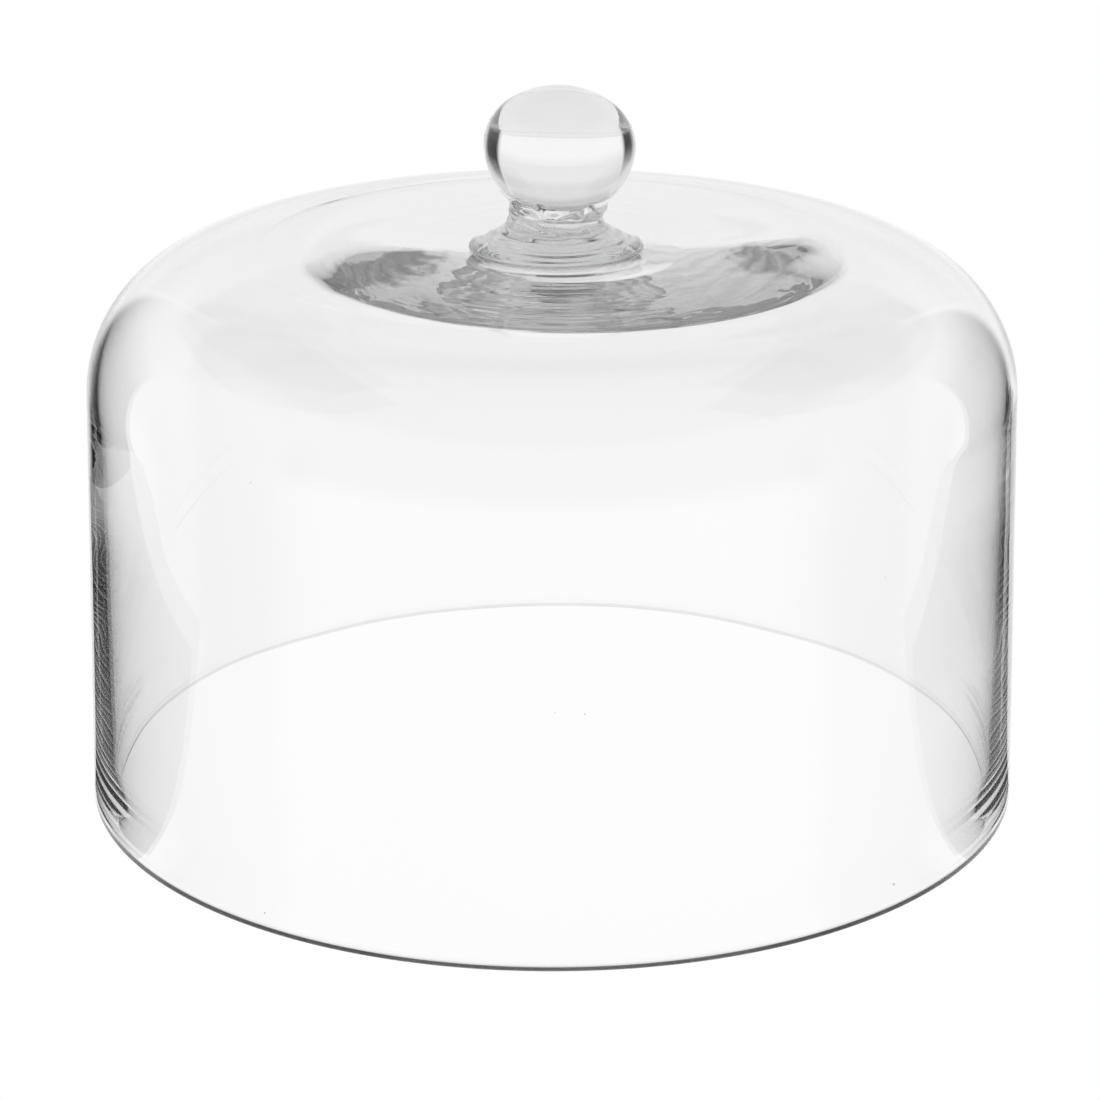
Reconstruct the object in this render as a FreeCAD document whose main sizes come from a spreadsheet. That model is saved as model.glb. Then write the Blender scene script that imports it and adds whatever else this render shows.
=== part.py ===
import FreeCAD, Part
import math
import os
import Sketcher

# Clear glass cloche: an open-bottomed blown dome with a solid ball knob.
# Frame: millimetres, +Z up, origin at the centre of the circle the rim rests on.
# +X is the way the knob leans.
#
# Pieces
#   dome_shell  wall, shoulder and crown, one blown shell with a fire-polished rim
#   knob_foot   disc-and-trumpet collar cast onto the crown
#   knob        solid flattened ball on a short neck, joined on top of the collar

os.makedirs("parts", exist_ok=True)

doc = FreeCAD.newDocument("glass_cloche")

# ---------------------------------------------------------------- parameters
PARAMS = [
    # alias, value (mm or degrees), meaning
    ("rim_radius", 142.5, "outer radius of the wall carried down to the resting plane"),
    ("wall_flare_deg", 1.35, "how far the wall leans out towards the rim, from vertical"),
    ("wall_thick", 5.5, "thickness of the blown wall"),
    ("wall_top_height", 128.4, "height at which the straight wall turns into the shoulder"),
    ("shoulder_radius", 40.0, "shoulder arc, outer surface"),
    ("blend_radius", 234.0, "long shallow arc from shoulder to ring, outer surface"),
    ("blend_slope_deg", 8.0, "slope where the shoulder hands over to that arc"),
    ("ring_radius", 88.8, "radius of the soft ring where the crown's level disc begins"),
    ("ring_inset", 0.4, "how much smaller the same ring is on the inner surface"),
    ("mouth_radius", 136.8, "inner radius of the short straight land inside the mouth"),
    ("mouth_land_length", 8.0, "height of that land above the resting plane"),
    ("rim_round_out", 1.6, "fire-polished round on the outer edge of the rim"),
    ("rim_round_in", 2.6, "fire-polished round on the inner edge of the rim"),
    ("foot_shift", 1.2, "how far collar and knob sit off the dome's axis, along +X"),
    ("foot_radius", 26.0, "outer radius of the collar's disc"),
    ("foot_edge_radius", 2.4, "round of the disc's edge"),
    ("foot_top_height", 171.8, "height of the disc's upper face"),
    ("foot_sink", 166.4, "height of the collar blank's base, before the dome is cut out"),
    ("neck_radius", 14.1, "radius at the narrowest part of the neck"),
    ("neck_height", 180.2, "height of the joint, the neck's narrowest part"),
    ("knob_top_height", 217.6, "height of the knob's top before it is leant"),
    ("knob_cap_radius", 27.4, "flat arc on top of the knob"),
    ("knob_max_radius", 22.5, "largest radius of the ball"),
    ("knob_side_radius", 15.08, "arc round the ball's widest part"),
    ("knob_flank_radius", 24.1, "arc of the ball's underside"),
    ("knob_neck_fillet", 7.04, "concave arc from ball to neck"),
    ("knob_stub", 3.0, "extra neck below the joint, trimmed off again"),
    ("knob_lean_deg", 3.0, "lean of the knob about the joint, towards +X"),
    ("trim_width", 60.0, "side of the square block that trims the knob's stub"),
    ("trim_depth", 20.0, "height of that block, below the joint"),
]
sheet = doc.addObject("Spreadsheet::Sheet", "Params")
for row, (alias, value, meaning) in enumerate(PARAMS, start=1):
    sheet.set("A%d" % row, alias)
    sheet.set("B%d" % row, repr(value))
    sheet.set("C%d" % row, meaning)
    sheet.setAlias("B%d" % row, alias)
doc.recompute()
size = {alias: value for alias, value, _ in PARAMS}

RIM_TOLERANCE = 1e-3      # mm, for finding the rim's edges
OVERLAP_TOLERANCE = 1e-3  # mm3 two pieces may share

# ------------------------------------------------------------ sketch helpers
# Points are (radius, height) pairs. They lay each sketch out near its solution;
# the constraints, driven from the spreadsheet, decide the final shape.
START, END, CENTRE = 1, 2, 3  # point positions on a sketch element
ORIGIN = (-1, START)
VERTICAL_AXIS = -2


def new_body(name):
    body = doc.addObject("PartDesign::Body", name)
    body.Label = name
    return body


def new_sketch(body, name):
    """Sketch on the body's XZ plane, so its vertical axis is the body's Z."""
    sketch = body.newObject("Sketcher::SketchObject", name)
    plane = next(item for item in body.Origin.OriginFeatures if item.Role == "XZ_Plane")
    sketch.AttachmentSupport = [(plane, "")]
    sketch.MapMode = "FlatFace"
    return sketch


def line(sketch, start, end):
    segment = Part.LineSegment(FreeCAD.Vector(*start, 0), FreeCAD.Vector(*end, 0))
    return sketch.addGeometry(segment, False)


def arc(sketch, centre, radius, start, end):
    """Counter-clockwise arc about `centre` from point `start` to point `end`."""
    start_angle = math.atan2(start[1] - centre[1], start[0] - centre[0])
    end_angle = math.atan2(end[1] - centre[1], end[0] - centre[0])
    if end_angle < start_angle:
        end_angle += 2.0 * math.pi
    circle = Part.Circle(FreeCAD.Vector(*centre, 0), FreeCAD.Vector(0, 0, 1), radius)
    return sketch.addGeometry(Part.ArcOfCircle(circle, start_angle, end_angle), False)


def constrain(sketch, *args):
    return sketch.addConstraint(Sketcher.Constraint(*args))


def join(sketch, *ends):
    constrain(sketch, "Coincident", *ends)


def join_smooth(sketch, *ends):
    constrain(sketch, "Tangent", *ends)


def dimension(sketch, name, expression, *args):
    """Named dimension driven by `expression`; the last argument is its first value."""
    sketch.renameConstraint(constrain(sketch, *args), name)
    sketch.setExpression("Constraints." + name, expression)


def revolve(body, sketch, kind, name):
    """Turn a fully constrained sketch about its vertical axis."""
    doc.recompute()
    if sketch.solve() != 0:
        raise RuntimeError("sketch did not solve: " + sketch.Name)
    if not sketch.FullyConstrained:
        raise RuntimeError("sketch is not fully constrained: " + sketch.Name)
    feature = body.newObject(kind, name)
    feature.Profile = sketch
    feature.ReferenceAxis = (sketch, ["V_Axis"])
    feature.Angle = 360.0
    sketch.Visibility = False
    doc.recompute()
    return feature


# ---------------------------------------------------------------- dome_shell
# Inner and outer surfaces share the centres of their shoulder and blend arcs.
FLARE = math.radians(size["wall_flare_deg"])
SLOPE = math.radians(size["blend_slope_deg"])
WALL_LEAN = size["wall_top_height"] * math.tan(FLARE)
SHOULDER_CENTRE = (
    size["rim_radius"] - WALL_LEAN - size["shoulder_radius"] * math.cos(FLARE),
    size["wall_top_height"] - size["shoulder_radius"] * math.sin(FLARE),
)
CENTRE_GAP = size["blend_radius"] - size["shoulder_radius"]
BLEND_CENTRE = (
    SHOULDER_CENTRE[0] - CENTRE_GAP * math.sin(SLOPE),
    SHOULDER_CENTRE[1] - CENTRE_GAP * math.cos(SLOPE),
)
WALL_LEAN_EXPR = "Params.wall_top_height * tan(Params.wall_flare_deg * 1 deg)"
SPREAD_EXPR = ("(Params.blend_radius - Params.shoulder_radius)"
               " * sin(Params.blend_slope_deg * 1 deg)")


def draw_dome(sketch, wall_foot, is_inner):
    """Draw wall, shoulder, blend, level disc and axis; return their indices."""
    offset = size["wall_thick"] if is_inner else 0.0
    ring = size["ring_radius"] - (size["ring_inset"] if is_inner else 0.0)
    shoulder_radius = size["shoulder_radius"] - offset
    blend_radius = size["blend_radius"] - offset

    def on_shoulder(across, up):
        return (SHOULDER_CENTRE[0] + shoulder_radius * across,
                SHOULDER_CENTRE[1] + shoulder_radius * up)

    wall_top = on_shoulder(math.cos(FLARE), math.sin(FLARE))
    blend_start = on_shoulder(math.sin(SLOPE), math.cos(SLOPE))
    top = BLEND_CENTRE[1] + math.sqrt(blend_radius ** 2 - (ring - BLEND_CENTRE[0]) ** 2)
    wall = line(sketch, wall_foot, wall_top)
    shoulder = arc(sketch, SHOULDER_CENTRE, shoulder_radius, wall_top, blend_start)
    blend = arc(sketch, BLEND_CENTRE, blend_radius, blend_start, (ring, top))
    disc = line(sketch, (ring, top), (0, top))
    axis = line(sketch, (0, top), (0, 0))
    return wall, shoulder, blend, disc, axis


def constrain_dome(sketch, wall, shoulder, blend, disc, axis, is_inner):
    """Chain wall, shoulder, blend and disc, and size the arcs."""
    offset = size["wall_thick"] if is_inner else 0.0
    ring = size["ring_radius"] - (size["ring_inset"] if is_inner else 0.0)
    minus_thick = " - Params.wall_thick" if is_inner else ""
    minus_inset = " - Params.ring_inset" if is_inner else ""
    join_smooth(sketch, shoulder, START, wall, END)
    join_smooth(sketch, blend, START, shoulder, END)
    join(sketch, disc, START, blend, END)
    join(sketch, disc, END, axis, START)
    constrain(sketch, "Horizontal", disc)
    constrain(sketch, "PointOnObject", axis, START, VERTICAL_AXIS)
    dimension(sketch, "shoulder", "Params.shoulder_radius" + minus_thick,
              "Radius", shoulder, size["shoulder_radius"] - offset)
    dimension(sketch, "blend", "Params.blend_radius" + minus_thick,
              "Radius", blend, size["blend_radius"] - offset)
    dimension(sketch, "spread", SPREAD_EXPR,
              "DistanceX", blend, CENTRE, shoulder, CENTRE, CENTRE_GAP * math.sin(SLOPE))
    dimension(sketch, "ring", "Params.ring_radius" + minus_inset,
              "DistanceX", *ORIGIN, blend, END, ring)


def turn_outer(body):
    """Solid bounded by the dome's outer surface."""
    sketch = new_sketch(body, "dome_outer_profile")
    rim = (size["rim_radius"], 0)
    base = line(sketch, (0, 0), rim)
    wall, shoulder, blend, disc, axis = draw_dome(sketch, rim, is_inner=False)
    join(sketch, base, START, *ORIGIN)
    join(sketch, base, END, wall, START)
    join(sketch, axis, END, base, START)
    constrain(sketch, "Horizontal", base)
    dimension(sketch, "rim", "Params.rim_radius",
              "DistanceX", base, START, base, END, size["rim_radius"])
    dimension(sketch, "wall_top", "Params.wall_top_height",
              "DistanceY", *ORIGIN, wall, END, size["wall_top_height"])
    dimension(sketch, "flare", WALL_LEAN_EXPR,
              "DistanceX", wall, END, wall, START, WALL_LEAN)
    constrain_dome(sketch, wall, shoulder, blend, disc, axis, is_inner=False)
    revolve(body, sketch, "PartDesign::Revolution", "dome_outer")


def cut_hollow(body):
    """Cut the inner surface; its foot is the short straight land of the mouth."""
    sketch = new_sketch(body, "dome_inner_profile")
    mouth = (size["mouth_radius"], 0)
    land_top = (size["mouth_radius"], size["mouth_land_length"])
    base = line(sketch, (0, 0), mouth)
    land = line(sketch, mouth, land_top)
    wall, shoulder, blend, disc, axis = draw_dome(sketch, land_top, is_inner=True)
    join(sketch, base, START, *ORIGIN)
    join(sketch, base, END, land, START)
    join(sketch, land, END, wall, START)
    join(sketch, axis, END, base, START)
    constrain(sketch, "Horizontal", base)
    constrain(sketch, "Vertical", land)
    dimension(sketch, "mouth", "Params.mouth_radius",
              "DistanceX", base, START, base, END, size["mouth_radius"])
    dimension(sketch, "land", "Params.mouth_land_length",
              "DistanceY", land, START, land, END, size["mouth_land_length"])
    dimension(sketch, "centre_r",
              "Params.rim_radius - " + WALL_LEAN_EXPR
              + " - Params.shoulder_radius * cos(Params.wall_flare_deg * 1 deg)",
              "DistanceX", *ORIGIN, shoulder, CENTRE, SHOULDER_CENTRE[0])
    constrain_dome(sketch, wall, shoulder, blend, disc, axis, is_inner=True)
    dimension(sketch, "centre_z",
              "Params.wall_top_height"
              " - Params.shoulder_radius * sin(Params.wall_flare_deg * 1 deg)",
              "DistanceY", *ORIGIN, shoulder, CENTRE, SHOULDER_CENTRE[1])
    return revolve(body, sketch, "PartDesign::Groove", "dome_hollow")


def rim_edge(shape, radius):
    """Name of the circular edge of `radius` on the resting plane."""
    for i, edge in enumerate(shape.Edges, start=1):
        curve = edge.Curve
        if (isinstance(curve, Part.Circle)
                and abs(curve.Radius - radius) < RIM_TOLERANCE
                and abs(curve.Center.z) < RIM_TOLERANCE):
            return "Edge%d" % i
    raise RuntimeError("no rim edge at %g" % radius)


def round_rim(body, base, name, edge_alias, round_alias):
    """Fire-polish the rim edge whose radius is `edge_alias`."""
    fillet = body.newObject("PartDesign::Fillet", name)
    fillet.Base = (base, [rim_edge(base.Shape, size[edge_alias])])
    fillet.Radius = size[round_alias]
    fillet.setExpression("Radius", "Params." + round_alias)
    doc.recompute()
    return fillet


def build_dome():
    body = new_body("dome_shell")
    turn_outer(body)
    solid_volume = body.Shape.Volume
    hollow = cut_hollow(body)
    if not body.Shape.Volume < 0.3 * solid_volume:
        raise RuntimeError("the hollow was not cut")
    outer_round = round_rim(body, hollow, "rim_round_outer", "rim_radius", "rim_round_out")
    body.Tip = round_rim(body, outer_round, "rim_round_inner", "mouth_radius", "rim_round_in")
    doc.recompute()
    return body


# ----------------------------------------------------------------- knob_foot
def build_foot(dome):
    """Round-edged disc on the crown, sweeping up in a trumpet to the neck."""
    body = new_body("foot_blank")
    sketch = new_sketch(body, "foot_profile")
    edge_radius = size["foot_edge_radius"]
    disc_top, joint = size["foot_top_height"], size["neck_height"]
    neck, sink = size["neck_radius"], size["foot_sink"]
    trumpet_radius = joint - disc_top
    edge_x = size["foot_radius"] - edge_radius
    edge_centre = (edge_x, disc_top - edge_radius)
    edge_bottom = (edge_x, disc_top - 2 * edge_radius)
    trumpet_centre = (neck + trumpet_radius, joint)
    trumpet_foot = (neck + trumpet_radius, disc_top)

    base = line(sketch, (0, sink), (edge_x, sink))
    side = line(sketch, (edge_x, sink), edge_bottom)
    edge = arc(sketch, edge_centre, edge_radius, edge_bottom, (edge_x, disc_top))
    top = line(sketch, (edge_x, disc_top), trumpet_foot)
    trumpet = arc(sketch, trumpet_centre, trumpet_radius, (neck, joint), trumpet_foot)
    seam = line(sketch, (neck, joint), (0, joint))
    axis = line(sketch, (0, joint), (0, sink))

    join(sketch, base, END, side, START)
    join(sketch, side, END, edge, START)
    join_smooth(sketch, top, START, edge, END)
    join_smooth(sketch, trumpet, END, top, END)
    join(sketch, trumpet, START, seam, START)
    join(sketch, seam, END, axis, START)
    join(sketch, axis, END, base, START)
    constrain(sketch, "Horizontal", base)
    constrain(sketch, "Vertical", side)
    constrain(sketch, "Horizontal", top)
    constrain(sketch, "Horizontal", seam)
    constrain(sketch, "PointOnObject", base, START, VERTICAL_AXIS)
    constrain(sketch, "PointOnObject", seam, END, VERTICAL_AXIS)
    # the edge is a half circle, the trumpet a quarter circle level with the seam
    constrain(sketch, "Vertical", edge, START, edge, CENTRE)
    constrain(sketch, "Horizontal", trumpet, CENTRE, trumpet, START)
    dimension(sketch, "edge", "Params.foot_edge_radius", "Radius", edge, edge_radius)
    dimension(sketch, "edge_r", "Params.foot_radius - Params.foot_edge_radius",
              "DistanceX", *ORIGIN, edge, CENTRE, edge_x)
    dimension(sketch, "top", "Params.foot_top_height",
              "DistanceY", *ORIGIN, top, START, disc_top)
    dimension(sketch, "seam", "Params.neck_height",
              "DistanceY", *ORIGIN, seam, START, joint)
    dimension(sketch, "neck", "Params.neck_radius",
              "DistanceX", seam, END, seam, START, neck)
    dimension(sketch, "sink", "Params.foot_sink",
              "DistanceY", *ORIGIN, base, START, sink)
    revolve(body, sketch, "PartDesign::Revolution", "foot_turned")
    body.setExpression("Placement.Base.x", "Params.foot_shift * 1 mm")
    doc.recompute()

    # cutting the dome out of the collar makes the two meet face to face
    foot = doc.addObject("Part::Cut", "knob_foot")
    foot.Label = "knob_foot"
    foot.Base = body
    foot.Tool = dome
    doc.recompute()
    return foot


# ---------------------------------------------------------------------- knob
def toward(start, target, length):
    """Point at `length` from `start` on the ray to `target`."""
    span = math.hypot(target[0] - start[0], target[1] - start[1])
    return (start[0] + (target[0] - start[0]) * length / span,
            start[1] + (target[1] - start[1]) * length / span)


def nearer_axis_crossing(first, first_radius, second, second_radius):
    """Crossing of two circles, the one with the smaller x."""
    dx, dz = second[0] - first[0], second[1] - first[1]
    span = math.hypot(dx, dz)
    along = (first_radius ** 2 - second_radius ** 2 + span ** 2) / (2 * span)
    aside = math.sqrt(max(first_radius ** 2 - along ** 2, 0.0))
    crossings = [(first[0] + (along * dx + sign * aside * dz) / span,
                  first[1] + (along * dz - sign * aside * dx) / span)
                 for sign in (1, -1)]
    return min(crossings, key=lambda point: point[0])


def turn_knob():
    """Upright ball and neck; sketch height 0 is the joint, the neck's narrowest part."""
    body = new_body("knob_blank")
    sketch = new_sketch(body, "knob_profile")
    top = size["knob_top_height"] - size["neck_height"]
    neck, stub = size["neck_radius"], size["knob_stub"]
    cap_radius, side_radius = size["knob_cap_radius"], size["knob_side_radius"]
    flank_radius, fillet_radius = size["knob_flank_radius"], size["knob_neck_fillet"]
    side_x = size["knob_max_radius"] - side_radius

    cap_centre = (0.0, top - cap_radius)
    side_centre = (side_x, cap_centre[1]
                   + math.sqrt((cap_radius - side_radius) ** 2 - side_x ** 2))
    fillet_centre = (neck + fillet_radius, 0.0)
    # the flank touches the side arc from outside it and the fillet externally
    flank_centre = nearer_axis_crossing(side_centre, flank_radius - side_radius,
                                        fillet_centre, flank_radius + fillet_radius)
    cap_end = toward(cap_centre, side_centre, cap_radius)
    side_end = toward(flank_centre, side_centre, flank_radius)
    flank_end = toward(flank_centre, fillet_centre, flank_radius)

    cap = arc(sketch, cap_centre, cap_radius, cap_end, (0.0, top))
    side = arc(sketch, side_centre, side_radius, side_end, cap_end)
    flank = arc(sketch, flank_centre, flank_radius, flank_end, side_end)
    fillet = arc(sketch, fillet_centre, fillet_radius, flank_end, (neck, 0.0))
    stub_side = line(sketch, (neck, 0.0), (neck, -stub))
    stub_base = line(sketch, (neck, -stub), (0.0, -stub))
    axis = line(sketch, (0.0, -stub), (0.0, top))

    join_smooth(sketch, cap, START, side, END)
    join_smooth(sketch, side, START, flank, END)
    join_smooth(sketch, flank, START, fillet, START)
    join_smooth(sketch, fillet, END, stub_side, START)
    join(sketch, stub_side, END, stub_base, START)
    join(sketch, stub_base, END, axis, START)
    join(sketch, axis, END, cap, END)
    constrain(sketch, "PointOnObject", cap, CENTRE, VERTICAL_AXIS)
    constrain(sketch, "PointOnObject", cap, END, VERTICAL_AXIS)
    constrain(sketch, "PointOnObject", stub_base, END, VERTICAL_AXIS)
    constrain(sketch, "Vertical", stub_side)
    constrain(sketch, "Horizontal", stub_base)
    dimension(sketch, "cap", "Params.knob_cap_radius", "Radius", cap, cap_radius)
    dimension(sketch, "side", "Params.knob_side_radius", "Radius", side, side_radius)
    dimension(sketch, "flank", "Params.knob_flank_radius", "Radius", flank, flank_radius)
    dimension(sketch, "fillet", "Params.knob_neck_fillet", "Radius", fillet, fillet_radius)
    dimension(sketch, "height", "Params.knob_top_height - Params.neck_height",
              "DistanceY", *ORIGIN, axis, END, top)
    dimension(sketch, "side_r", "Params.knob_max_radius - Params.knob_side_radius",
              "DistanceX", *ORIGIN, side, CENTRE, side_x)
    dimension(sketch, "neck", "Params.neck_radius",
              "DistanceX", *ORIGIN, stub_side, START, neck)
    # the neck's narrowest point is level with the joint
    constrain(sketch, "DistanceY", *ORIGIN, fillet, CENTRE, 0.0)
    dimension(sketch, "stub", "Params.knob_stub",
              "DistanceY", stub_side, END, stub_side, START, stub)
    revolve(body, sketch, "PartDesign::Revolution", "knob_turned")
    return body


def build_knob():
    """Lean the ball about the joint, then trim it level with the collar's top face."""
    ball = turn_knob()
    ball.Placement = FreeCAD.Placement(
        FreeCAD.Vector(size["foot_shift"], 0, size["neck_height"]),
        FreeCAD.Rotation(FreeCAD.Vector(0, 1, 0), size["knob_lean_deg"]))
    ball.setExpression("Placement.Base.x", "Params.foot_shift * 1 mm")
    ball.setExpression("Placement.Base.z", "Params.neck_height * 1 mm")
    ball.setExpression("Placement.Rotation.Angle", "Params.knob_lean_deg * 1 deg")
    doc.recompute()

    trim = doc.addObject("Part::Box", "knob_trim")
    for path, expression in (
        ("Length", "Params.trim_width"),
        ("Width", "Params.trim_width"),
        ("Height", "Params.trim_depth"),
        ("Placement.Base.x", "(Params.foot_shift - Params.trim_width / 2)"),
        ("Placement.Base.y", "(0 - Params.trim_width / 2)"),
        ("Placement.Base.z", "(Params.neck_height - Params.trim_depth)"),
    ):
        trim.setExpression(path, expression + " * 1 mm")
    knob = doc.addObject("Part::Cut", "knob")
    knob.Label = "knob"
    knob.Base = ball
    knob.Tool = trim
    doc.recompute()
    return knob


# ---------------------------------------------------------- build and export
dome_shell = build_dome()
pieces = [dome_shell, build_foot(dome_shell), build_knob()]

for item in doc.Objects:
    if "Invalid" in item.State or "Error" in item.State:
        raise RuntimeError("%s is %s" % (item.Name, item.State))

for i, piece in enumerate(pieces):
    shape = piece.Shape
    if shape.isNull() or not shape.isValid():
        raise RuntimeError("bad shape: " + piece.Name)
    if len(shape.Solids) != 1:
        raise RuntimeError("%s has %d solids" % (piece.Name, len(shape.Solids)))
    for other in pieces[i + 1:]:
        overlap = shape.common(other.Shape).Volume
        if overlap > OVERLAP_TOLERANCE:
            raise RuntimeError("%s and %s overlap by %.4f mm3"
                               % (piece.Name, other.Name, overlap))

for piece in pieces:
    piece.Shape.exportStep("parts/%s.step" % piece.Name)
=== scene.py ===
"""A clear blown-glass dome, open below, with a collar and a leaning ball knob on its crown.

Lengths are millimetres unless a comment says metres.  The rim stands on z = 0 and the dome's
axis is z.  The knob's axis is FOOT_X towards +x, and the camera looks from -y.
"""

import math

import bpy
import numpy as np
from mathutils import Matrix


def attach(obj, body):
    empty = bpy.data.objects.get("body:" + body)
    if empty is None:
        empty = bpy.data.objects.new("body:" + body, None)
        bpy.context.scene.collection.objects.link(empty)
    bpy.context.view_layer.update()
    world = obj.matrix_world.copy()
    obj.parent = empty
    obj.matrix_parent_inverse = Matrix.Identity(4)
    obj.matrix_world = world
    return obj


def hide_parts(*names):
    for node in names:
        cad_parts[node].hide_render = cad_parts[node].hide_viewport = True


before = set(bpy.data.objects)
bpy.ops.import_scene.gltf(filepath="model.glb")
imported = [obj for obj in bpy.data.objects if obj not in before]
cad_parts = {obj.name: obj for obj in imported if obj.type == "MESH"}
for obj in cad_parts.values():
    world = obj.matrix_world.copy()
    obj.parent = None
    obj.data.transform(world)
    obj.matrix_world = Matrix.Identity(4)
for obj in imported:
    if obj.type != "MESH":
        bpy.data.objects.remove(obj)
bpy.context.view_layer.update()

# ------------------------------------------------------------------ dimensions
MM = 0.001                          # metres in a millimetre
RIM_R = 142.5                       # outer wall, carried down to z = 0
FLARE = math.radians(1.35)          # the wall widens downwards
WALL_TOP = 128.4
WALL_T, TOP_T = 5.5, 2.9            # thickness of the plain outline: low, and at the shoulder
LOW_T, HIGH_T = 5.0, 3.1            # thickness the inner relief aims at: low, and at WALL_TOP
SHOULDER_R, BLEND_R = 40.0, 234.0   # arcs from the wall to the crown
SLOPE = math.radians(8.0)           # slope where the two arcs meet
RING_R, RING_INSET = 88.8, 0.4      # edge of the level crown; inside it is a little smaller
LAND_H = 8.0                        # height of the straight mouth
MOUTH_R = 136.8
ROUND_OUT, ROUND_IN = 1.2, 2.0      # roundings of the rim
FOOT_X = 1.2
FOOT_R, FOOT_BASE_R = 26.0, 25.5
FOOT_SINK = 0.2                     # the collar reaches this far into the crown
NECK_R, NECK_Z = 14.1, 180.2
KNOB_TOP, KNOB_MAX_R = 217.6, 22.5
CAP_R, SIDE_R, FLANK_R, FILLET_R = 27.4, 15.08, 24.1, 7.04   # knob arcs, from the top down
KNOB_SINK = 0.3
KNOB_LEAN = math.radians(3.0)

SHELL_STEPS, COLLAR_STEPS, KNOB_STEPS = 280, 192, 256        # points round each axis

# air seeds in the wall: turn (radians), height, radius, upright stretch
SEED_DEPTH = 2.5
SEED_ROWS, SEED_COLS = 5, 10
SEEDS = [(-0.804, 7.8, 0.34, 1.2), (-2.186, 5.2, 0.24, 1.1), (-1.507, 75.9, 0.17, 1.3),
         (-1.565, 76.4, 0.14, 1.0), (2.4, 61.0, 0.22, 1.2), (0.62, 33.0, 0.20, 1.4)]


# --------------------------------------------------------------- outline maths
def arc(centre, radius, start, end, count):
    angle = np.linspace(start, end, count)
    return np.stack([centre[0] + radius * np.cos(angle), centre[1] + radius * np.sin(angle)], 1)


def line(start, end, count):
    t = np.linspace(0, 1, count)[:, None]
    return np.array(start, float) * (1 - t) + np.array(end, float) * t


def bezier(start, control_1, control_2, end, count):
    t = np.linspace(0, 1, count)[:, None]
    p0, p1, p2, p3 = (np.array(p, float) for p in (start, control_1, control_2, end))
    return (1 - t) ** 3 * p0 + 3 * (1 - t) ** 2 * t * p1 + 3 * (1 - t) * t ** 2 * p2 + t ** 3 * p3


def joined(first, *others):
    """Chain runs of points; each run starts on the last point of the one before."""
    return np.vstack([first] + [run[1:] for run in others])


def smooth(start, end, value):
    """0 at `start`, 1 at `end`, eased between; `start` may be the larger."""
    t = np.clip((value - start) / (end - start), 0.0, 1.0)
    return t * t * (3 - 2 * t)


def hump(value, centre, width):
    return np.exp(-((value - centre) / width) ** 2)


def ripple(value, wavelength, phase=0.0):
    return np.sin(2 * math.pi * value / wavelength + phase)


def wall_radius(z):
    return RIM_R - math.tan(FLARE) * z


# ---------------------------------------------------------------------- meshes
def new_object(name, data):
    ob = bpy.data.objects.new(name, data)
    bpy.context.scene.collection.objects.link(ob)
    return ob


def mesh_object(name, verts, faces, shade_smooth=False):
    mesh = bpy.data.meshes.new(name)
    mesh.from_pydata((np.asarray(verts, float) * MM).tolist(), [], faces)
    if shade_smooth:
        mesh.polygons.foreach_set("use_smooth", [True] * len(mesh.polygons))
        mesh.update()
    return new_object(name, mesh)


def lathe(outline, steps, relief):
    """Vertices and faces of a closed solid of revolution.

    `outline` runs (r, z) from the axis, round the section and back to the axis.
    `relief(r, z, turn, row)` moves each point along the outline's outward normal.
    """
    tangent = np.gradient(outline, axis=0)
    normal = np.stack([-tangent[:, 1], tangent[:, 0]], 1)
    normal /= np.maximum(np.linalg.norm(normal, axis=1, keepdims=True), 1e-12)
    body, normal = outline[1:-1], normal[1:-1]
    rows = len(body)
    r = np.repeat(body[:, 0:1], steps, 1)
    z = np.repeat(body[:, 1:2], steps, 1)
    turn = np.repeat((np.arange(steps) * 2 * math.pi / steps)[None, :], rows, 0)
    row = np.repeat(np.arange(1, rows + 1)[:, None], steps, 1)
    offset = relief(r, z, turn, row)
    r = r + offset * normal[:, 0:1]
    z = z + offset * normal[:, 1:2]
    verts = np.stack([r * np.cos(turn), r * np.sin(turn), z], -1).reshape(-1, 3)
    verts = np.vstack([verts, [[0, 0, z[0].mean()]], [[0, 0, z[-1].mean()]]])

    i = np.arange(rows - 1)[:, None] * steps
    j = np.arange(steps)
    after = (j + 1) % steps
    quads = np.stack([i + j, i + steps + j, i + steps + after, i + after], -1).reshape(-1, 4)
    last = (rows - 1) * steps
    top, bottom = rows * steps, rows * steps + 1
    top_fan = np.stack([np.full(steps, top), j, after], -1)
    bottom_fan = np.stack([np.full(steps, bottom), last + after, last + j], -1)
    return verts, quads.tolist() + top_fan.tolist() + bottom_fan.tolist()


def air_seed(turn, height, radius, stretch, first):
    """A tiny hollow inside the wall, its faces turned inward; vertices count from `first`."""
    seed_r = wall_radius(height) - SEED_DEPTH
    centre = np.array([seed_r * math.cos(turn), seed_r * math.sin(turn), height])
    verts = [centre + (0, 0, radius * stretch)]
    for i in range(1, SEED_ROWS + 1):
        a = math.pi * i / (SEED_ROWS + 1)
        for j in range(SEED_COLS):
            b = 2 * math.pi * j / SEED_COLS
            verts.append(centre + (radius * math.sin(a) * math.cos(b),
                                   radius * math.sin(a) * math.sin(b),
                                   radius * stretch * math.cos(a)))
    verts.append(centre - (0, 0, radius * stretch))
    last = first + len(verts) - 1
    last_row = last - SEED_COLS
    faces = []
    for j in range(SEED_COLS):
        after = (j + 1) % SEED_COLS
        faces.append((first, first + 1 + after, first + 1 + j))
        for i in range(SEED_ROWS - 1):
            upper = first + 1 + i * SEED_COLS
            lower = upper + SEED_COLS
            faces.append((upper + j, upper + after, lower + after, lower + j))
        faces.append((last, last_row + j, last_row + after))
    return verts, faces


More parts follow.
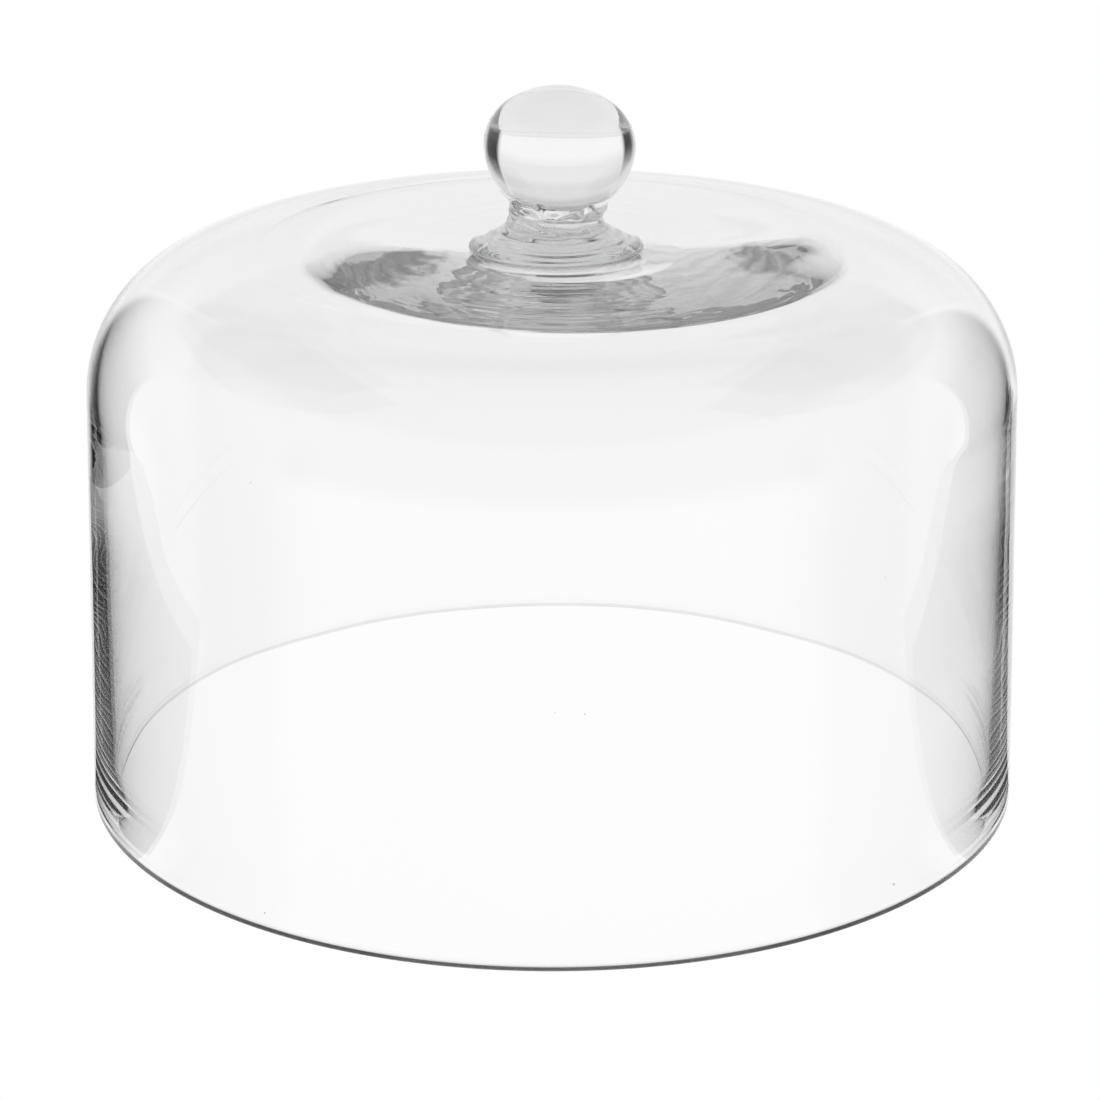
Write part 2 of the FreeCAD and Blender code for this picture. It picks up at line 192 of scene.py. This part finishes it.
# ----------------------------------------------------------------- blown shell
def dome_outline(offset, crown_r, blend_count, shoulder_count):
    """From the axis over the level crown, the blend and the shoulder to the top of the wall."""
    shoulder_c = (wall_radius(WALL_TOP) - SHOULDER_R * math.cos(FLARE),
                  WALL_TOP - SHOULDER_R * math.sin(FLARE))
    blend_c = (shoulder_c[0] - (BLEND_R - SHOULDER_R) * math.sin(SLOPE),
               shoulder_c[1] - (BLEND_R - SHOULDER_R) * math.cos(SLOPE))
    blend_r = BLEND_R - offset
    ring = RING_R - (RING_INSET if offset else 0.0)
    crown_z = blend_c[1] + math.sqrt(blend_r ** 2 - (ring - blend_c[0]) ** 2)
    crown = np.stack([crown_r, np.full(len(crown_r), crown_z)], 1)
    meet = math.pi / 2 - SLOPE
    blend = arc(blend_c, blend_r, math.acos((ring - blend_c[0]) / blend_r), meet, blend_count)
    shoulder = arc(shoulder_c, SHOULDER_R - offset, meet, FLARE, shoulder_count)
    return np.vstack([crown[crown[:, 0] < ring - 0.1], joined(blend, shoulder)])


def gather(x, y):
    """Extra thickness under the crown, growing towards the knob."""
    reach = np.hypot((x - 7.0) * 1.07, y)
    thickness = 0.085 * (88.0 - np.clip(reach, 34.0, 88.0))
    # thicker on the +y side, thinner on the -y side
    sides = smooth(-72.0, -50.0, x) * smooth(90.0, 72.0, x)
    tilt = np.tanh((y + 3.0 - 0.10 * x) / 16.0)
    return thickness + 0.66 * tilt * sides * smooth(100.0, 84.0, reach)


def crown_relief(x, y):
    """Tooling rings and slow waves on the crown's outer surface."""
    dist = np.hypot(x - FOOT_X, y)
    az = np.arctan2(y, x - FOOT_X)
    wobble = (0.9 * np.sin(2 * az + 0.6) + 0.6 * np.sin(3 * az - 1.1)
              + 0.35 * np.sin(5 * az + 2.0))
    # rings start outside the collar, fade outwards and are strongest towards +y and -y
    strength = (smooth(26.0, 31.0, dist) * (1 - smooth(50.0, 88.0, dist))
                * (0.20 + 0.80 * np.abs(np.sin(az)) ** 6))
    k = 0.040 * strength * ripple(dist + wobble, 9.4, 0.5)
    k += 0.016 * strength * ripple(dist - 0.7 * wobble, 4.3, 0.8 + 0.4 * np.sin(2 * az))
    k += 0.004 * strength * ripple(dist + 0.5 * wobble, 2.7)
    # a soft raised band next to the collar, left by the tool
    k += 0.06 * hump(dist, 31.0, 3.4)
    # slow waves: a bent checker and a slanting swell
    waves = 0.02 * np.sin(x / 21.5 + 0.8 + 0.7 * np.sin(y / 33.0)) * np.sin(y / 24.0 - 0.4)
    waves += 0.03 * np.sin(x / 29.0 - y / 37.0 + 2.1)
    return k + waves * (1 - smooth(84.0, 104.0, dist)) * smooth(20.0, 30.0, dist)


def wall_relief(z, turn):
    """Relief of the inner wall; positive makes the wall thicker."""
    rise = np.clip((z - LAND_H) / (WALL_TOP - LAND_H), 0, 1)
    k = (LOW_T + (HIGH_T - LOW_T) * rise) - (WALL_T + (TOP_T - WALL_T) * rise)
    # broad waves, then narrower ones, both dying out near the top
    k += (0.05 * np.sin(z / 17.0 + 1.1 * np.sin(turn * 2 + 0.7)) * np.sin(2 * turn + 0.4)
          * smooth(1.0, 0.8, rise))
    k += 0.014 * np.sin(z / 8.3 + 2.0 * np.sin(turn * 3 + 0.2) + 1.0) * smooth(0.9, 0.7, rise)
    # fine slanting cords on the +x and -x flanks
    flank = smooth(0.82, 0.98, np.abs(np.cos(turn)))
    slant = 14.0 * np.sin(turn)
    cords = (0.015 * np.sin(z / 4.6 + slant + 0.8 * np.sin(z / 15.0))
             + 0.006 * np.sin(z / 2.3 + 1.7 * slant + 2.0))
    k += flank * smooth(0.95, 0.75, rise) * cords
    # eased in above the mouth and out over the shoulder
    ease = smooth(LAND_H, LAND_H + 14.0, z) * smooth(160.0, WALL_TOP, z)
    return np.where(z <= WALL_TOP, k, HIGH_T - TOP_T) * ease


def build_shell(outer):
    inner = dome_outline(TOP_T, np.linspace(0, RING_R, 44), 10, 30)
    rim_r = wall_radius(ROUND_OUT)
    wall = line(outer[-1], (rim_r, ROUND_OUT), 40)
    outside = joined(outer, wall)
    to_mouth = joined(
        outside,
        arc((rim_r - ROUND_OUT, ROUND_OUT), ROUND_OUT, 0, -math.pi / 2, 9),
        line((rim_r - ROUND_OUT, 0), (MOUTH_R + ROUND_IN, 0), 4),
        arc((MOUTH_R + ROUND_IN, ROUND_IN), ROUND_IN, -math.pi / 2, -math.pi, 11),
        line((MOUTH_R, ROUND_IN), (MOUTH_R, LAND_H), 4))
    outline = joined(to_mouth, line((MOUTH_R, LAND_H), inner[-1], 48), inner[::-1])

    def relief(r, z, turn, row):
        x, y = r * np.cos(turn), r * np.sin(turn)
        crown = crown_relief(x, y) * (1 - smooth(100.0, 112.0, r))
        k = np.where(row < len(outer), crown, 0.0)
        # the outer wall is very slightly uneven
        body = smooth(6.0, 24.0, z) * (1 - smooth(118.0, 140.0, z))
        uneven = 0.04 * np.sin(z / 21.0 + 1.7 * np.sin(2 * turn)) * np.sin(3 * turn + 1.1)
        k = k + np.where(row < len(outside), uneven * body, 0.0)
        inside = row >= len(to_mouth)
        k = k + np.where(inside & (z < 160.0) & (r > 90), wall_relief(z, turn), 0.0)
        return k + np.where(inside & (r < 112) & (z > WALL_TOP), gather(x, y), 0.0)

    verts, faces = lathe(outline, SHELL_STEPS, relief)
    for seed in SEEDS:
        seed_verts, seed_faces = air_seed(*seed, first=len(verts))
        verts = np.vstack([verts, seed_verts])
        faces += seed_faces
    return mesh_object("blown_shell", verts, faces, shade_smooth=True)


# ---------------------------------------------------------------------- collar
def build_collar(crown_z):
    base_z = crown_z - FOOT_SINK
    # Bezier runs, each from the end of the one before: two controls, end, point count
    curves = [
        ((NECK_R, 176.4), (15.6, 175.2), (18.5, 173.8), 34),            # neck flare
        ((20.5, 172.85), (22.5, 171.85), (24.4, 170.95), 20),           # sloping top
        ((25.4, 170.5), (FOOT_R, 170.15), (FOOT_R, 169.6), 14),         # soft edge
        ((FOOT_R, 169.2), (25.8, 168.9), (FOOT_BASE_R, base_z), 8),     # pinch at the crown
    ]
    start = (NECK_R, NECK_Z)
    runs = [line((0, NECK_Z), start, 10)]
    for control_1, control_2, end, count in curves:
        runs.append(bezier(start, control_1, control_2, end, count))
        start = end
    runs.append(line(start, (0, base_z), 16))

    def relief(r, z, turn, _row):
        neck = smooth(173.6, NECK_Z - 0.6, z)
        # slow rings on the upper side, and one groove
        rings = np.sin(r / 0.5 + 0.9 * np.sin(2 * turn + 0.5) + 0.5 * np.sin(5 * turn))
        k = 0.10 * rings * (1 - neck) * smooth(25.0, 22.0, r)
        k -= 0.16 * hump(r, 21.6 + 0.3 * np.sin(2 * turn + 1.0), 0.9) * (1 - neck)
        # creases where the hot joint was pulled, then broad and narrow folds
        k -= 0.30 * neck * (1 - np.abs(np.sin(2.0 * turn + 0.9 + z / 2.6))) ** 5
        k += (0.50 * neck * np.sin(4 * turn + 1.2 + 2.2 * np.sin(z / 1.9))
              * np.sin(z / 1.25 + 1.4 * np.sin(3 * turn)))
        k += 0.20 * neck * np.sin(9 * turn + 0.3 + z / 1.1)
        # no relief inside the neck or at the crown
        return k * smooth(NECK_R - 2.0, NECK_R, r) * smooth(crown_z + 0.9, crown_z + 2.4, z)

    collar = mesh_object("collar", *lathe(joined(*runs), COLLAR_STEPS, relief), shade_smooth=True)
    collar.location = (FOOT_X * MM, 0, 0)
    return collar


# ------------------------------------------------------------------------ knob
def knob_outline(top):
    """Cap, side, flank and fillet arcs, each tangent to the next; z = 0 is the joint."""
    cap = (0.0, top - CAP_R)
    side_x = KNOB_MAX_R - SIDE_R
    side = (side_x, cap[1] + math.sqrt((CAP_R - SIDE_R) ** 2 - side_x ** 2))
    fillet = (NECK_R + FILLET_R, 0.0)
    # the flank's centre lies where circles about the side's and fillet's centres cross
    from_side, from_fillet = FLANK_R - SIDE_R, FLANK_R + FILLET_R
    dx, dz = fillet[0] - side[0], fillet[1] - side[1]
    gap = math.hypot(dx, dz)
    along = (from_side ** 2 - from_fillet ** 2 + gap ** 2) / (2 * gap)
    across = math.sqrt(max(from_side ** 2 - along ** 2, 0.0))
    flank = min([(side[0] + along * dx / gap + sign * across * dz / gap,
                  side[1] + along * dz / gap - sign * across * dx / gap) for sign in (1, -1)],
                key=lambda centre: centre[0])

    def bearing(start, end):
        return math.atan2(end[1] - start[1], end[0] - start[0])

    cap_end, side_end, flank_end = bearing(cap, side), bearing(flank, side), bearing(flank, fillet)
    return joined(arc(cap, CAP_R, math.pi / 2, cap_end, 30),
                  arc(side, SIDE_R, cap_end, side_end, 50),
                  arc(flank, FLANK_R, side_end, flank_end, 30),
                  arc(fillet, FILLET_R, flank_end + math.pi, math.pi, 18),
                  line((NECK_R, 0), (NECK_R, -KNOB_SINK), 3),
                  line((NECK_R, -KNOB_SINK), (0, -KNOB_SINK), 12))


def build_knob():
    top = KNOB_TOP - NECK_Z

    def relief(r, z, turn, _row):
        # folds and creases just above the joint, from broad to fine
        low = smooth(9.5, 2.0, z) * smooth(-0.1, 0.4, z)
        k = (0.55 * low * np.sin(3 * turn + 0.4 + 1.8 * np.sin(z / 2.4))
             * np.sin(z / 1.5 + 1.6 * np.sin(2 * turn + 0.6)))
        k -= 0.50 * low * (1 - np.abs(np.sin(2.0 * turn + 0.3 - z / 2.9))) ** 6
        k += 0.24 * low * np.sin(8 * turn + 1.1 + z / 1.3)
        k += 0.12 * low * np.sin(15 * turn + z / 0.9)
        # the faint unevenness of a hand-turned ball
        ball = smooth(3.0, 10.0, z) * smooth(top - 1.0, top - 9.0, z)
        return k + 0.05 * np.sin(2 * turn + 0.9) * np.sin(z / 9.0 + 0.6) * ball

    knob = mesh_object("ball_knob", *lathe(knob_outline(top), KNOB_STEPS, relief),
                       shade_smooth=True)
    knob.matrix_world = (Matrix.Translation((FOOT_X * MM, 0, NECK_Z * MM))
                         @ Matrix.Rotation(KNOB_LEAN, 4, "Y"))
    return knob


# ---------------------------------------------------------------- node helpers
def set_inputs(tree, node, inputs):
    """Link each input given as a socket and set each one given as a value."""
    for key, value in inputs.items():
        if isinstance(value, bpy.types.NodeSocket):
            tree.links.new(value, node.inputs[key])
        else:
            node.inputs[key].default_value = value


def add_node(tree, kind, inputs=None, **props):
    node = tree.nodes.new("ShaderNode" + kind)
    for key, value in props.items():
        setattr(node, key, value)
    set_inputs(tree, node, inputs or {})
    return node


def add_math(tree, operation, *values):
    return add_node(tree, "Math", dict(enumerate(values)), operation=operation).outputs[0]


def add_smoothstep(tree, value, low, high, at_low=0.0, at_high=1.0):
    return add_node(tree, "MapRange", {"Value": value, "From Min": low, "From Max": high,
                                       "To Min": at_low, "To Max": at_high},
                    interpolation_type="SMOOTHSTEP").outputs["Result"]


def add_ramp(tree, factor, stops):
    """`stops` are (position, colour), in rising order."""
    node = add_node(tree, "ValToRGB", {0: factor})
    elements = node.color_ramp.elements
    elements[0].position = stops[0][0]
    elements[1].position = stops[-1][0]
    for position, _ in stops[1:-1]:
        elements.new(position)
    for element, (_, colour) in zip(elements, stops):
        element.color = colour
    return node.outputs[0]


def emission_material(name, colour_of):
    """`colour_of(tree)` gives the emitted colour, as a value or a socket."""
    material = bpy.data.materials.new(name)
    material.use_nodes = True
    tree = material.node_tree
    tree.nodes.clear()
    emission = add_node(tree, "Emission", {"Color": colour_of(tree)})
    add_node(tree, "OutputMaterial", {"Surface": emission.outputs[0]})
    return material


# ----------------------------------------------------------------------- glass
def glass(name, absorption, patch_scale, cord_scale, cord_height, haze, tint):
    """Clear glass: faintly uneven tint, haze in patches and shallow cords (height in metres)."""
    material = bpy.data.materials.new(name)
    material.use_nodes = True
    tree = material.node_tree
    place = add_node(tree, "TexCoord").outputs["Object"]
    patches = add_node(tree, "TexNoise", {"Vector": place, "Scale": patch_scale,
                                          "Detail": 2.0}).outputs["Fac"]
    # cords: noise squeezed in height, so it runs round the axis
    squeezed = add_node(tree, "Mapping", {"Vector": place, "Scale": (1.0, 1.0, 3.2)})
    cords = add_node(tree, "TexNoise", {"Vector": squeezed.outputs["Vector"],
                                        "Scale": cord_scale, "Detail": 3.0, "Roughness": 0.45})
    bump = add_node(tree, "Bump", {"Height": cords.outputs["Fac"], "Strength": 1.0,
                                   "Distance": cord_height})
    set_inputs(tree, tree.nodes["Principled BSDF"], {
        "Base Color": add_ramp(tree, patches, [(0.3, tint + (1,)), (0.7, (1, 1, 1, 1))]),
        "Roughness": add_smoothstep(tree, patches, low=0.52, high=0.75, at_high=haze),
        "Normal": bump.outputs["Normal"],
        "Transmission Weight": 1.0,
        "IOR": 1.5,
    })
    volume = add_node(tree, "VolumeAbsorption", {"Color": (0.0, 0.0, 0.0, 1.0),
                                                 "Density": absorption})
    set_inputs(tree, tree.nodes["Material Output"], {"Volume": volume.outputs[0]})
    return material


crown_radii = np.concatenate([np.linspace(0, 22, 6)[:-1], np.linspace(22, 62, 76)[:-1],
                              np.linspace(62, RING_R, 38)])
outer_outline = dome_outline(0.0, crown_radii, 14, 34)
shell = build_shell(outer_outline)
collar = build_collar(float(outer_outline[0, 1]))
knob = build_knob()

shell_glass = glass("shell_glass", absorption=3.8, patch_scale=18.0, cord_scale=70.0,
                    cord_height=0.000002, haze=0.004, tint=(0.992, 0.996, 0.994))
collar_glass = glass("collar_glass", absorption=6.0, patch_scale=60.0, cord_scale=200.0,
                     cord_height=0.000012, haze=0.010, tint=(0.986, 0.990, 0.988))
knob_glass = glass("knob_glass", absorption=0.8, patch_scale=40.0, cord_scale=90.0,
                   cord_height=0.000003, haze=0.004, tint=(0.990, 0.994, 0.992))
for ob, cad_piece, material in ((shell, "dome_shell", shell_glass),
                                (collar, "knob_foot", collar_glass),
                                (knob, "knob", knob_glass)):
    ob.data.materials.append(material)
    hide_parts(cad_piece)
    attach(ob, "root")


# ---------------------------------------------------------------------- camera
def build_camera():
    data = bpy.data.cameras.new("camera")
    camera = new_object("camera", data)
    camera.location = (0.0, -1.05, 0.4513)                            # metres
    camera.rotation_euler = (math.radians(90.0) - 0.345707, 0.0, 0.0)  # looks down a little
    data.sensor_width = 36.0
    data.lens = 119.0369455
    data.shift_x = -0.0018181818
    data.clip_start, data.clip_end = 0.01, 50.0
    bpy.context.scene.camera = camera
    return camera


# ----------------------------------------------------------------------- stage
FLOOR_HALF = 6000.0


def build_floor():
    """White floor that only the camera sees."""
    half = FLOOR_HALF
    corners = [(-half, -half, 0), (half, -half, 0), (half, half, 0), (-half, half, 0)]
    floor = mesh_object("floor", corners, [(0, 1, 2, 3)])
    floor.data.materials.append(emission_material("floor_white", lambda tree: (1, 1, 1, 1)))
    floor.visible_glossy = False
    floor.visible_transmission = False
    floor.visible_diffuse = False
    floor.visible_shadow = False


def build_rig(camera):
    """The studio turns with the camera, so every view gets the same light."""
    rig = new_object("light_rig", None)
    track = rig.constraints.new("LOCKED_TRACK")
    track.target = camera
    track.track_axis = "TRACK_NEGATIVE_Y"
    track.lock_axis = "LOCK_Z"
    return rig


def card(name, rig, points, colour_of):
    """A dark card beside the set, seen only through or in the glass; it emits its painted grey
    instead of being lit.
    """
    ob = mesh_object(name, points, [tuple(range(len(points)))])
    ob.parent = rig
    ob.visible_camera = False
    ob.visible_diffuse = False
    ob.visible_shadow = False
    ob.data.materials.append(emission_material(name, colour_of))


def painted_shade_floor_card(name, rig, footprint, centre_x, reach, painted_shades):
    """Lying card of painted shade, the floor darkened next to the upright card; its greys are
    given as (distance from centre_x over reach, grey).  Metres.
    """
    def colour(tree):
        place = add_node(tree, "TexCoord").outputs["Object"]
        distance = add_node(tree, "VectorMath", {0: place, 1: (centre_x, 0.0, 0.0)},
                            operation="DISTANCE").outputs["Value"]
        # painted shade, graded by distance from the dome's side
        return add_ramp(tree, add_math(tree, "DIVIDE", distance, reach),
                        [(position, (grey, grey, grey, 1)) for position, grey in painted_shades])

    card(name, rig, [(x, y, 0) for x, y in footprint], colour)


def upright_card(name, rig, base, height, rise, painted_top_grey, edge):
    """Standing dark card with painted light: lighter up over heights `rise` and near its inner
    `edge`.  Metres.
    """
    dark, painted_edge_grey = 0.03, 0.85

    def colour(tree):
        place = add_node(tree, "TexCoord").outputs["Object"]
        axes = add_node(tree, "SeparateXYZ", {0: place}).outputs
        # painted light: the card is painted lighter towards its top and near its inner edge
        up = add_smoothstep(tree, add_math(tree, "ABSOLUTE", axes[2]), *rise, dark, painted_top_grey)
        side = add_smoothstep(tree, add_math(tree, "ABSOLUTE", axes[0]), *edge, painted_edge_grey, dark)
        return add_math(tree, "MAXIMUM", up, side)

    near, far = base
    card(name, rig, [(*near, 0), (*far, 0), (*far, height), (*near, height)], colour)


# footprints: (x, y) round the card; the fourth and fifth points carry the upright card
LEFT_FOOTPRINT = [(-144, -12), (-175, 74), (-209, 168), (-240, 281),
                  (-450, 150), (-320, -70), (-127, -70), (-138, -44)]
RIGHT_FOOTPRINT = [(144, -12), (183, 71), (247, 206), (372, 477),
                   (640, 210), (320, -70), (127, -70), (138, -44)]
# painted shade of the floor cards, darkest next to the dome: (distance over reach, grey)
LEFT_PAINTED_SHADES = [(0.0, 0.015), (0.05, 0.08), (0.25, 0.06), (0.45, 0.045),
               (0.50, 0.035), (0.60, 0.12), (0.70, 0.40), (1.0, 0.70)]
RIGHT_PAINTED_SHADES = [(0.0, 0.015), (0.03, 0.12), (0.10, 0.20), (0.18, 0.28), (0.24, 0.07),
                (0.31, 0.07), (0.40, 0.06), (0.50, 0.40), (0.60, 0.04), (1.0, 0.03)]


def build_cards(rig):
    # the lying cards carry painted shade of the floor beside the upright cards
    painted_shade_floor_card("painted_shade_floor_left", rig, LEFT_FOOTPRINT, centre_x=-0.14, reach=0.36,
               painted_shades=LEFT_PAINTED_SHADES)
    upright_card("card_upright_left_painted_light", rig, LEFT_FOOTPRINT[3:5], height=400,
                 rise=(0.14, 0.30), painted_top_grey=0.70, edge=(0.242, 0.274))
    painted_shade_floor_card("painted_shade_floor_right", rig, RIGHT_FOOTPRINT, centre_x=0.14, reach=0.60,
               painted_shades=RIGHT_PAINTED_SHADES)
    upright_card("card_upright_right_painted_light", rig, RIGHT_FOOTPRINT[3:5], height=520,
                 rise=(0.20, 0.44), painted_top_grey=0.60, edge=(0.378, 0.416))


# ----------------------------------------------------------------------- world
# degrees of elevation over which the backdrop turns to each grey, going up
LOW_GREY = 1.0
HORIZON_GREY, HORIZON_FROM, HORIZON_TO = 0.86, -9.0, 2.0
UPPER_GREYS = [(0.76, 6.0, 14.0), (0.58, 20.0, 28.0), (0.38, 29.0, 37.0), (0.04, 40.0, 50.0)]


def build_world(rig):
    """Grey levels by direction, in the rig's frame; the camera itself sees white."""
    world = bpy.data.worlds.new("studio")
    bpy.context.scene.world = world
    world.use_nodes = True
    tree = world.node_tree
    tree.nodes.clear()

    def calc(operation, *values):
        return add_math(tree, operation, *values)

    def above(value, low, high):
        return add_smoothstep(tree, value, low, high)

    def below(value, low, high):
        return calc("SUBTRACT", 1.0, above(value, low, high))

    def window(value, low, high, soft):
        return calc("MULTIPLY", above(value, low - soft / 2, low + soft / 2),
                    below(value, high - soft / 2, high + soft / 2))

    def blend(level, grey, mask):
        return calc("MULTIPLY_ADD", calc("SUBTRACT", grey, level), mask, level)

    place = add_node(tree, "TexCoord", object=rig).outputs["Object"]
    direction = add_node(tree, "VectorMath", {0: place}, operation="NORMALIZE").outputs[0]
    x, y, z = add_node(tree, "SeparateXYZ", {0: direction}).outputs
    degrees = 57.29578
    # azimuth to either side of the direction away from the camera
    azimuth = calc("ABSOLUTE", calc("MULTIPLY", calc("ARCTAN2", x, y), degrees))
    elevation = calc("MULTIPLY", calc("ARCSINE", z), degrees)

    level = calc("MULTIPLY_ADD", above(elevation, HORIZON_FROM, HORIZON_TO),
                 HORIZON_GREY - LOW_GREY, LOW_GREY)
    for grey, low, high in UPPER_GREYS:
        level = blend(level, grey, above(elevation, low, high))
    # straight below
    level = blend(level, 0.88, above(calc("MULTIPLY", elevation, -1.0), 62.0, 74.0))
    # the room behind the camera is dark above the table
    level = blend(level, 0.40, calc("MULTIPLY", above(azimuth, 105.0, 120.0),
                                    window(elevation, 4.0, 50.0, soft=16.0)))
    # grey to either side, up to the dark overhead
    level = blend(level, 0.68, calc("MULTIPLY", window(azimuth, 68.0, 110.0, soft=12.0),
                                    below(elevation, 30.0, 55.0)))

    camera_ray = add_node(tree, "LightPath").outputs["Is Camera Ray"]
    background = add_node(tree, "Background", {"Color": calc("MAXIMUM", level, camera_ray)})
    add_node(tree, "OutputWorld", {"Surface": background.outputs[0]})


camera = build_camera()
build_floor()
rig = build_rig(camera)
build_cards(rig)
build_world(rig)

scene = bpy.context.scene
scene.view_settings.view_transform = "Standard"
scene.view_settings.look = "None"
# light crosses many glass surfaces
scene.cycles.max_bounces = 96
scene.cycles.transmission_bounces = 96
scene.cycles.glossy_bounces = 96
